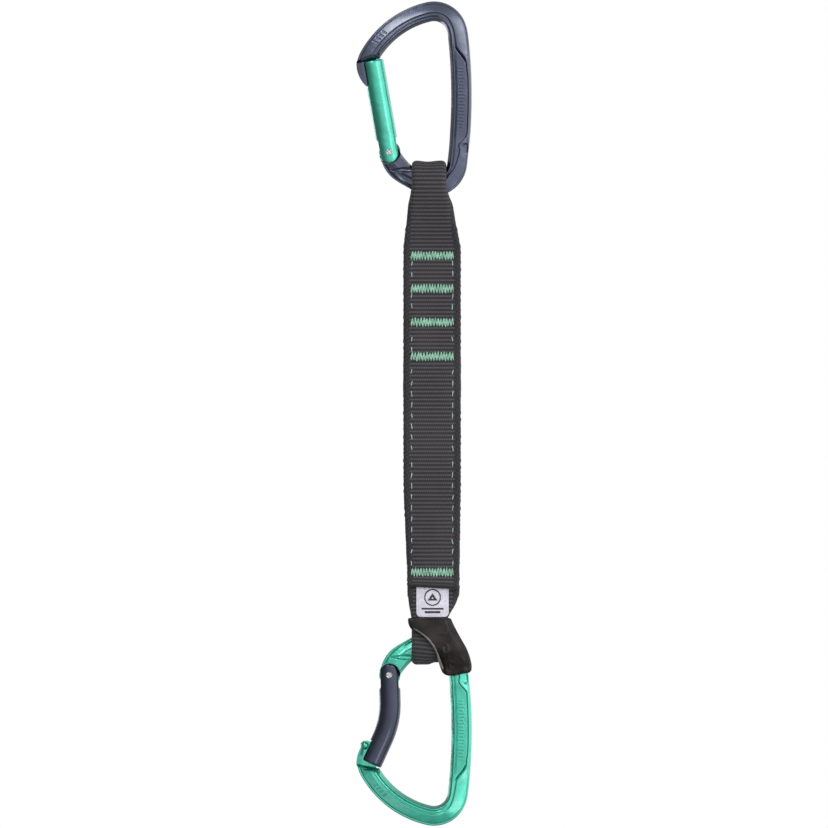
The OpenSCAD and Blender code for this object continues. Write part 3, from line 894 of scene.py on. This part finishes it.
def build_webbing():
    """The whole folded strip as one skin, with its path and the distances along that."""
    path, d = resample(sling_path(), STEP)
    hidden = d[-1] - HIDDEN_RUN
    # the hidden run needs few sections
    keep = [k for k in range(len(path)) if d[k] < hidden or k % 14 == 0 or k == len(path) - 1]
    tangent = tangents(path)
    outward = np.stack([-tangent[:, 1], tangent[:, 0]], 1)     # to the left of the way it runs
    # flat coordinates round one section: outer side, one edge, inner side, other edge
    side = np.concatenate([np.linspace(-HALF_STRIP, -SELVEDGE, 9)[:-1],
                           np.linspace(-SELVEDGE, SELVEDGE, 27)[:-1],
                           np.linspace(SELVEDGE, HALF_STRIP, 9)])
    under = np.concatenate([np.linspace(HALF_STRIP, SELVEDGE, 7), np.linspace(5, -5, 4),
                            np.linspace(-SELVEDGE, -HALF_STRIP, 7)])
    u = np.concatenate([side, [HALF_STRIP], under, [-HALF_STRIP]])
    level = np.concatenate([np.ones(len(side)), [0], -np.ones(len(under)), [0]])
    n = len(u)
    points, cloth = [], []
    for k in keep:
        y, z = path[k]
        s = d[k]
        z_wide = max(z, HEM_Z + 9) if s < 30 else z      # the hem stays as wide as the sling
        w = widen(z_wide, 0.1)
        lo = LOOP_X[0] + (SLING_MID - HALF_STRIP - LOOP_X[0]) * widen(z_wide, 0.5)
        hi = LOOP_X[1] + (SLING_MID + HALF_STRIP - LOOP_X[1]) * w
        mid, a = (lo + hi) / 2, (hi - lo) / 2
        across, below = fold_half(a, np.abs(u))
        x = mid + np.sign(u) * across
        # slope of the section, for its normal
        ahead = fold_half(a, np.minimum(np.abs(u) + 0.02, HALF_STRIP + 1))
        dx, db = ahead[0] - across, ahead[1] - below
        length = np.maximum(np.hypot(dx, db), 1e-9)
        nx, nn = np.sign(u) * db / length, dx / length
        fade = smooth((hidden + 4 - s) / 4)
        au = np.abs(u)
        rim = smooth((au - 9.6) / 0.7)
        low = smooth((LOW_Z + 8 - z) / 6)
        # ribs across the strip, broken up along its selvedges
        phase = s / RIB + rim * (au - 10) * 0.42 + low * u * 0.05
        wave = np.abs(np.sin(math.pi * phase)) ** 0.7
        broken = np.cos(2 * math.pi * (au / 1.25 + 0.5 * np.floor(phase)))
        wave = wave * (1 - 0.6 * rim * (0.5 + 0.5 * broken))
        looped = smooth((z - BAR_Z + 30) / 14) + smooth((LOW_Z + 24 - z) / 12)
        roll = np.sin(math.pi * np.clip((au - 9.8) / 2.9, 0, 1))
        relief = ((0.17 + 0.10 * looped) * wave + 0.20 * rim * roll
                  - 0.13 * bell(au, 9.3, 0.35)) * fade
        # the hidden run fills the room between the outer layers
        h = np.where(level > 0, STRIP_H + 0.12 - 0.22 * fade + relief,
                     np.where(level < 0, -STRIP_H - 0.12 * (1 - fade), 0))
        h = h * (0.45 + 0.55 * smooth((HALF_STRIP - au) / 0.5))
        ragged = 0.10 * math.sin(math.floor(phase[0]) * 2.1)
        bulge = np.where(level == 0, 0.08 + 0.26 * wave + ragged, 0)
        wander = 0.10 * noise(s / 9.0, 1.0) * (1 - 0.4 * w)
        x = x + nx * h
        # the section is scaled to reach lo and hi exactly
        x = mid + (x - mid) * np.where(x > mid, (hi - mid) / (x.max() - mid),
                                       (mid - lo) / (mid - x.min()))
        x = x + (bulge - 0.1) * np.sign(u) * np.abs(nn) + wander
        depth = -below + nn * h
        o = outward[k]
        shift = 0.12 * noise(s / 13.0, 2.0) * fade
        lift = 0.1 * smooth((6 - s) / 6)
        # the loops' ends sag between their edges
        sag = 0.5 * smooth((z - BAR_Z - 2) / 5) * bell(x - mid, -0.5, 3.2)
        sag = sag + 1.0 * smooth((LOW_Z - 3 - z) / 4) * smooth((x + 2.5) / 3.5)
        for i in range(n):
            q = depth[i] + shift + lift - sag[i]
            points.append((x[i], y + o[0] * q, z + o[1] * q - 0.06 * x[i] * smooth((6 - s) / 6)))
            cloth.append((u[i] * MM, s * MM, float(wave[i])))
    obj = add_mesh("sling_webbing", points, ring_faces(len(keep), n), [WEBBING], sharp=0)
    set_cloth(obj, cloth)
    return obj, path, d


def set_cloth(obj, values):
    """Gives each point what the woven and thread materials read: metres across and along, and
    the rib's height."""
    attribute = obj.data.attributes.new("cloth", "FLOAT_VECTOR", "POINT")
    attribute.data.foreach_set("vector", np.asarray(values, np.float32).ravel())


def tubes(name, runs, radius, material, n=8):
    """Round threads along runs of points, as one mesh."""
    points, faces, cloth = [], [], []
    for run in runs:
        run = np.asarray(run, float)
        first, last, d = len(points), len(run) - 1, lengths_along(run)
        for k, (p, t) in enumerate(zip(run, tangents(run))):
            side = np.cross(t, (0, 1, 0.01))
            side /= np.linalg.norm(side)
            up = np.cross(side, t)
            r = radius * (0.55 if k in (0, last) else 1)
            for j in range(n):
                b = 2 * math.pi * j / n
                points.append(p + r * (math.cos(b) * side + math.sin(b) * up))
                cloth.append((radius * b * MM, d[k] * MM, 0))
        faces += ring_faces(len(run), n, first)
    obj = add_mesh(name, points, faces, [material], sharp=0)
    set_cloth(obj, cloth)
    return obj


webbing, strip_path, strip_d = build_webbing()
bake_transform(webbing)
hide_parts("webbing_upper", "webbing_lower")

# bar tacks: two zigzag passes over each other, on both faces
TACK_Z = (-103, -117.5, -132.3, -147.4, -242.4)
TACK_W = 18.8
TACK_PITCH = 1.22
TACK_TALL = (1.5, 1.95)  # half height of the first pass and of the second
THREAD_R = 0.21
FACE_Y = LAYER + STRIP_H + 0.06  # outside of the sling


def zigzag(rng, z, side):
    """Both passes of one tack on one face."""
    runs = []
    for turn, tall in enumerate(TACK_TALL):
        count = int(TACK_W / TACK_PITCH * 2)
        corners = []
        for k in range(count + 1):
            along = k * TACK_W / count
            x = SLING_MID - TACK_W / 2 + along + rng.uniform(-0.13, 0.13) + 0.22 * turn
            up = k % 2 * 2 - 1
            z_here = z + up * (tall + rng.uniform(-0.3, 0.25))
            corners.append((min(x, SLING_MID + TACK_W / 2), z_here))
        run = []
        for (x0, z0), (x1, z1) in zip(corners, corners[1:]):
            for f in (0, 0.12, 0.3, 0.5, 0.7, 0.88):
                lift = 0.36 * math.sin(math.pi * f) ** 0.6 + 0.10 * turn
                z_here = z0 + (z1 - z0) * f
                leaving = 0.5 * smooth((HEM_Z + 6.4 - z_here) / 3)
                run.append((x0 + (x1 - x0) * f, side * (FACE_Y - 0.02 + lift + leaving), z_here))
        runs.append(run)
    return runs


rng = random.Random(7)
for number, z in enumerate(TACK_Z, 1):
    runs = [run for side in (-1, 1) for run in zigzag(rng, z, side)]
    tack = tubes(f"bar_tack_{number}_thread", runs, THREAD_R, TACK)
    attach(tack, "sling_upper" if z > BEND_Z else "sling_lower")
    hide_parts(f"bar_tack_{number}")

# running stitches along both edges, on both faces
STITCH_PITCH = 4.8
STITCH_DX = 9.0


def dashes(rng, side, top, bottom):
    """Stitches along one edge on both faces, leaving out the bar tacks."""
    runs = []
    for face in (-1, 1):
        for k in range(int((top - bottom) / STITCH_PITCH) + 1):
            z = top - 1.2 - k * STITCH_PITCH + rng.uniform(-0.35, 0.35)
            if any(abs(z - t) < 3.0 for t in TACK_Z):
                continue
            half, lean = 1.15 + rng.uniform(-0.2, 0.2), rng.uniform(-0.14, 0.14)
            x = SLING_MID + side * STITCH_DX + rng.uniform(-0.12, 0.12)
            run = []
            for f in np.linspace(-0.999, 0.999, 9):
                y = FACE_Y - 0.22 + 0.34 * math.cos(f * math.pi / 2) ** 0.7
                run.append((x + lean * f * 2, face * y, z + half * f))
            runs.append(run)
    return runs


for side, name in ((-1, "left"), (1, "right")):
    for half, top, bottom in (("upper", -105, BEND_Z + 1.4), ("lower", BEND_Z - 1.2, -237)):
        runs = dashes(rng, side, top, bottom)
        stitches = tubes(f"stitches_{half}_{name}", runs, THREAD_R, RUNNING)
        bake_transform(stitches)
        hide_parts(f"stitch_{half}_{name}")

# ---------------------------------------------------------------- gate springs

WIRE_R = 0.32
COIL_R = 1.85
ROD_TOP = 9.4  # top of the plunger over the rivet
COIL_STEPS = 24  # points in each turn


def build_spring(name, gate, turns):
    """The coil between the plunger's top and the bore's end."""
    low, high = ROD_TOP + WIRE_R + 0.05, gate.bore - WIRE_R - 0.05
    run = []
    for k in range(turns * COIL_STEPS + 1):
        a = 2 * math.pi * k / COIL_STEPS
        run.append(on_gate(gate.lean, *polar((gate.side, 0), COIL_R, a),
                           low + (high - low) * k / (turns * COIL_STEPS)))
    return tubes(name, [run], WIRE_R, STEEL, 10)


for half, gate, turns in (("upper", STRAIGHT, 7), ("lower", BENT, 4)):
    spring = build_spring(f"{half}_spring_coil", gate, turns)
    ends = [Vector(on_gate(gate.lean, gate.side, 0, h)) * MM
            for h in (ROD_TOP + 2 * WIRE_R, gate.bore - 2 * WIRE_R)]
    if half == "lower":
        flip(spring)
        for end in ends:
            end.z = -REACH * MM - end.z
    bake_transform(spring)
    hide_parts(f"{half}_spring")

# ---------------------------------------------------------------- label

LABEL_W = 14.2
LABEL_TOP = -248.2
LABEL_LOW = -262.0
LABEL_MID = -0.2
LABEL_T = 0.32
LABEL_CORNER = 2.0
LABEL_STEP = 0.2


def strand_y(z):
    """Outer surface of the strip's front run to the lower loop, at a height."""
    run = [k for k, (y, height) in enumerate(strip_path)
           if y < -0.05 and height < -244 and strip_d[k] > 300]
    zs = strip_path[run][:, 1]
    order = np.argsort(zs)
    return float(np.interp(z, zs[order], strip_path[run][:, 0][order])) - STRIP_H - 0.12


def printed(x, z):
    """Whether the label's plain emblem, a ringed peak over two bars, covers a point."""
    cx, cz = LABEL_MID, LABEL_TOP - 5.2
    r = math.hypot(x - cx, z - cz)
    ring = 3.15 < r < 3.75
    peak = z > cz - 1.5 and z < cz + 1.9 - 1.5 * abs(x - cx) and not (
        z > cz - 0.6 and z < cz + 0.5 - 1.5 * abs(x - cx) - 0.3)
    bars = any(abs(z - (LABEL_TOP - low)) < 0.42 and abs(x - cx) < wide
               for low, wide in ((10.2, 4.9), (11.7, 3.4)))
    return ring or peak or bars


def build_label():
    """The tape on the strip's front run, in cells that are either tape or print."""
    nx = int(LABEL_W / LABEL_STEP) + 1
    nz = int((LABEL_TOP + 0.4 - LABEL_LOW) / LABEL_STEP) + 1
    r = LABEL_CORNER
    points, faces, inks = [], [], []
    for layer in (0, 1):
        for j in range(nz):
            z = LABEL_TOP + 0.4 - (LABEL_TOP + 0.4 - LABEL_LOW) * j / (nz - 1)
            half = LABEL_W / 2
            drop = z - LABEL_LOW
            if drop < r:
                half = LABEL_W / 2 - r + math.sqrt(max(0.0, r * r - (r - drop) ** 2))
            lift = 0.25 + 0.25 * smooth((LABEL_TOP - z) / 8)
            y = strand_y(min(z, LABEL_TOP + 1.0)) - 0.12 - lift
            for i in range(nx):
                f = 2 * i / (nx - 1) - 1
                x = LABEL_MID + f * half
                curl = 0.25 * (1 - f * f) * smooth((LABEL_TOP - z) / 10)
                points.append((x, y - curl + (LABEL_T if layer else 0), z))

    def at(layer, j, i):
        return (layer * nz + j) * nx + i

    for layer in (0, 1):
        for j in range(nz - 1):
            for i in range(nx - 1):
                faces.append((at(layer, j, i), at(layer, j, i + 1),
                              at(layer, j + 1, i + 1), at(layer, j + 1, i)))
                p, q = points[faces[-1][0]], points[faces[-1][2]]
                inks.append(int(layer == 0 and printed((p[0] + q[0]) / 2, (p[2] + q[2]) / 2)))
    rim = [(0, i) for i in range(nx)] + [(j, nx - 1) for j in range(1, nz)]
    rim += [(nz - 1, i) for i in range(nx - 2, -1, -1)] + [(j, 0) for j in range(nz - 2, 0, -1)]
    for (j0, i0), (j1, i1) in zip(rim, rim[1:] + rim[:1]):
        faces.append((at(0, j0, i0), at(0, j1, i1), at(1, j1, i1), at(1, j0, i0)))
        inks.append(0)
    obj = add_mesh("label_tape_piece", points, faces, [LABEL, PRINT], sharp=50)
    obj.data.polygons.foreach_set("material_index", inks)
    return obj


label = build_label()
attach(label, "sling_lower")
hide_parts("label")

# ---------------------------------------------------------------- keeper

KEEPER_OUTLINE = (
    (-11.2, -262.4), (-10.9, -265.2), (-9.8, -267.4), (-7.5, -268.8), (-4.9, -270), (-2.5, -272.2),
    (-0.6, -274.4), (0.9, -277.2), (2.2, -281), (3.2, -284.6), (4.2, -286.8), (6.2, -287.9),
    (9, -288), (13, -287.1), (16.2, -286.6), (17.1, -285.4), (17.1, -283), (16.2, -279.2),
    (14.8, -275.7), (12.6, -271.9), (10.8, -268.6), (9, -265.2), (7.9, -262.4),
)
# half depths of the keeper, at heights over the lower loop's axis
KEEPER_HEIGHTS = (-20, -14, -11, -8, -5, -2, 1, 4, 14)
KEEPER_DEPTHS = (6.0, 6.9, 7.6, 8.7, 9.8, 10.6, 10.85, 10.8, 9.6)
# the raised rings on its face: centre and half sizes in X and Z
KEEPER_RINGS = ((5.4, -276.0, 1.2, 1.9), (8.4, -283.2, 1.2, 1.5), (4.2, -268.3, 1.7, 1.4))


def extruded_x(outline, low, high):
    """A slab with an outline in Y and Z, from low to high along X."""
    return cutter([(x, y, z) for x in (low, high) for y, z in outline])


def drop_outline(r, half, top, n=48):
    """Teardrop in Y and Z: a circle about the lower loop's axis, drawn up to a slab."""
    q = tangent_from(half, top, r)
    arc = loop_arc(LOW_Z, r, q, math.pi + 2 * q, n)
    return [(half, LOW_Z + top)] + arc + [(-half, LOW_Z + top)]


KEEPER_BEAD = (
    (-8.6, -267.0), (-7.2, -267.9), (-4.7, -269.2), (-2.2, -271.4), (-0.1, -273.8), (1.4, -276.6),
    (2.7, -280.3), (3.6, -283.6), (4.9, -286.0),
)
KEEPER_LIP = ((-10.6, -262.9), (-10.3, -265.0), (-9.2, -266.9))
GAP = 0.25  # between the keeper and the bar


def keeper_front(z):
    """The keeper's half depth, at a height."""
    return float(np.interp(z - LOW_Z, KEEPER_HEIGHTS, KEEPER_DEPTHS))


def voxels(obj, size, easing):
    """Remeshes in cells of a size, and smooths the result."""
    remesh = obj.modifiers.new("remesh", "REMESH")
    remesh.mode = "VOXEL"
    remesh.voxel_size = size * MM
    ease = obj.modifiers.new("ease", "SMOOTH")
    ease.factor = 0.5
    ease.iterations = easing
    bake_modifiers(obj)


def build_keeper():
    """The rubber sleeve and cuff, hollow for the sling's end and for the bar."""
    keeper = prism(KEEPER_OUTLINE, THROUGH)
    keeper.name = "keeper_rubber_piece"
    profile = [(side * keeper_front(LOW_Z + z), LOW_Z + z)
               for side in (-1, 1) for z in KEEPER_HEIGHTS[::side]]
    boolean(keeper, extruded_x(profile, -40, 40), "INTERSECT")
    voxels(keeper, 0.5, 16)
    # the cuff is rounder across, and the sleeve's face swells a little
    for v in keeper.data.vertices:
        x, z = v.co.x / MM, v.co.z / MM
        cuff = smooth((-275 - z) / 8)
        beside = 7.9 + 0.447 * (-262.4 - z) - x
        v.co.y *= 1 - 0.16 * (1 - cuff) * smooth((4 - beside) / 4) ** 1.5
        v.co.y *= (1 - 0.24 * cuff * min(1, abs(x - 10.4) / 6.8) ** 2.2
                   - 0.05 * (1 - cuff) * min(1, abs(x + 1) / 10) ** 2)
    runs = []
    for side in (-1, 1):
        path, _ = resample(np.array(KEEPER_LIP), 0.5)
        runs.append([(x, side * (keeper_front(z) - 1.3), z) for x, z in path])
        for cx, cz, rx, rz in KEEPER_RINGS:
            ring = [(cx + rx * math.cos(a), cz + rz * math.sin(a))
                    for a in np.linspace(0, 2 * math.pi, 28)]
            runs.append([(x, side * (keeper_front(z) - 0.42), z) for x, z in ring])
    beads = tubes("cutter", runs, 0.5, RUBBER)
    bpy.ops.object.select_all(action="DESELECT")
    for o in (beads, keeper):
        o.select_set(True)
    bpy.context.view_layer.objects.active = keeper
    bpy.ops.object.join()
    voxels(keeper, 0.3, 3)
    path, _ = resample(np.array(KEEPER_BEAD), 0.5)
    for side in (-1, 1):
        run = [(x, side * (keeper_front(z) - 0.12), z) for x, z in path]
        boolean(keeper, tubes("cutter", [run], 0.45, RUBBER, 16), "UNION")
    # room for the sling's end and for the bar
    room = extruded_x(drop_outline(9.2 + 0.28, 2.6, 31), LOOP_X[0] - 0.3, LOOP_X[1] + 0.3)
    boolean(keeper, room)
    bar = [(x, -REACH - z)
           for x, z in bar_outline(list(np.arange(SPINE_TO - 24, TAIL_FROM + 4, 0.8)), GAP)]
    boolean(keeper, prism(bar, HALF_DEPTH + GAP))
    tidy_normals(keeper, 50)
    paint(keeper, RUBBER, RUBBER_BEAD_HIGHLIGHT)
    # the bead's top is painted pale: a painted highlight line along the sleeve's cut edge
    line = resample(np.array(KEEPER_BEAD), 0.25)[0]
    for face in keeper.data.polygons:
        x, y, z = face.center / MM
        beside = np.min(np.hypot(line[:, 0] - x, line[:, 1] - z))
        face.material_index = int(beside < 0.5 and abs(y) > keeper_front(z) - 0.1)
    return keeper


keeper = build_keeper()
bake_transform(keeper)
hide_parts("keeper")

# ---------------------------------------------------------------- carried-over CAD nodes

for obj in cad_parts.values():
    if not obj.hide_render:
        paint(obj, STEEL)

# ---------------------------------------------------------------- floor, light and camera


def plane(name, centre, across, up):
    """A rectangle about a centre, from its two half sides."""
    c, a, u = (np.array(v, float) for v in (centre, across, up))
    return add_mesh(name, [c - a - u, c + a - u, c + a + u, c - a + u], [(0, 1, 2, 3)])


FLOOR_BELOW = 1000  # so far down that the lower lamps shine in from above it
FLOOR_HALF = 600

floor_mat = Material("floor_paint", Roughness=0.7)
floor_mat.set("Base Color", floor_mat.ramp(floor_mat.noise(6, 3), (0.3, (0.60, 0.60, 0.60)),
                                           (0.7, (0.64, 0.64, 0.64))))
floor = plane("floor", (-8, 0, cad_box[0][2] / MM - FLOOR_BELOW),
              (FLOOR_HALF, 0, 0), (0, FLOOR_HALF, 0))
floor.data.materials.append(floor_mat.material)

# a white tent: brighter to the right, dim to the far left, above and below. Each part of the
# direction, X, Z and Y, has its own (place, brightness) pairs. The camera itself sees plain white.
SKY = (
    (0, ((-1, 0.15), (-0.9, 0.17), (-0.7, 0.26), (-0.42, 0.42), (0, 0.64), (0.42, 0.74),
         (0.77, 0.86), (0.92, 1.0), (1, 0.95))),
    (2, ((-1, 0.22), (-0.75, 0.26), (-0.55, 0.33), (-0.25, 0.74), (0.3, 0.97), (0.75, 0.4),
         (1, 0.3))),
    (1, ((-1, 1.0), (-0.1, 1.0), (0.25, 0.8), (1, 0.8))),
)
world = bpy.data.worlds.new("studio")
bpy.context.scene.world = world
sky = Nodes(world)
lit, shown = sky.tree.nodes["Background"], sky.add("ShaderNodeBackground")
shown.inputs["Color"].default_value = (1, 1, 1, 1)
shown.inputs["Strength"].default_value = 1.0
direction = sky.parts(sky.add("ShaderNodeTexCoord").outputs["Generated"])
tone = None
for part, stops in SKY:
    grey = sky.ramp(sky.range(direction[part], -1, 1, 0, 1),
                    *[((at + 1) / 2, value) for at, value in stops])
    tone = sky.mix(1.0, tone, grey, "MULTIPLY") if tone else grey
sky.link(tone, lit.inputs["Color"])
lit.inputs["Strength"].default_value = 1.95
pick = sky.add("ShaderNodeMixShader")
sky.link(sky.add("ShaderNodeLightPath").outputs["Is Camera Ray"], pick.inputs["Fac"])
sky.link(lit.outputs[0], pick.inputs[1])
sky.link(shown.outputs[0], pick.inputs[2])
sky.link(pick.outputs[0], sky.tree.nodes["World Output"].inputs["Surface"])

CENTRE = Vector((-8.36, 0, -172.7)) * MM  # of the photograph's frame, in metres
LAMP_AWAY = 1.1  # metres
CAMERA_AWAY = 1.5  # metres
PIXEL = 0.44
PICTURE = 828  # pixels across the picture


def softbox(name, azimuth, elevation, width, height, power):
    """A soft rectangular lamp that faces the object; azimuth 0 is the camera's side. Its sizes
    are in metres."""
    lamp = bpy.data.lights.new(name, "AREA")
    lamp.shape = "RECTANGLE"
    lamp.size, lamp.size_y, lamp.energy = width, height, power
    obj = new_object(name, lamp)
    a, e = math.radians(azimuth), math.radians(elevation)
    out = Vector((math.sin(a) * math.cos(e), -math.cos(a) * math.cos(e), math.sin(e)))
    obj.location = CENTRE + out * LAMP_AWAY
    obj.rotation_mode = "QUATERNION"
    obj.rotation_quaternion = out.to_track_quat("Z", "Y")


softbox("high_left", -21, 36, 0.34, 0.22, 1.7)
softbox("top_left", -45, 58, 0.3, 0.3, 0.9)
softbox("high_right", 40, 20, 0.3, 0.3, 0.9)
softbox("rim_left", -142, -18, 0.35, 0.9, 2.2)
softbox("low_left", -30, -36, 0.4, 0.3, 0.35)
softbox("low_right", 36, -26, 0.3, 0.3, 0.7)

camera_data = bpy.data.cameras.new("camera")
camera_data.type = "ORTHO"
camera_data.ortho_scale = PIXEL * PICTURE * MM
camera = new_object("camera", camera_data)
camera.location = CENTRE + Vector((0, -CAMERA_AWAY, 0))
camera.rotation_euler = (math.radians(90), 0, 0)
bpy.context.scene.camera = camera
bpy.context.scene.view_settings.view_transform = "Standard"
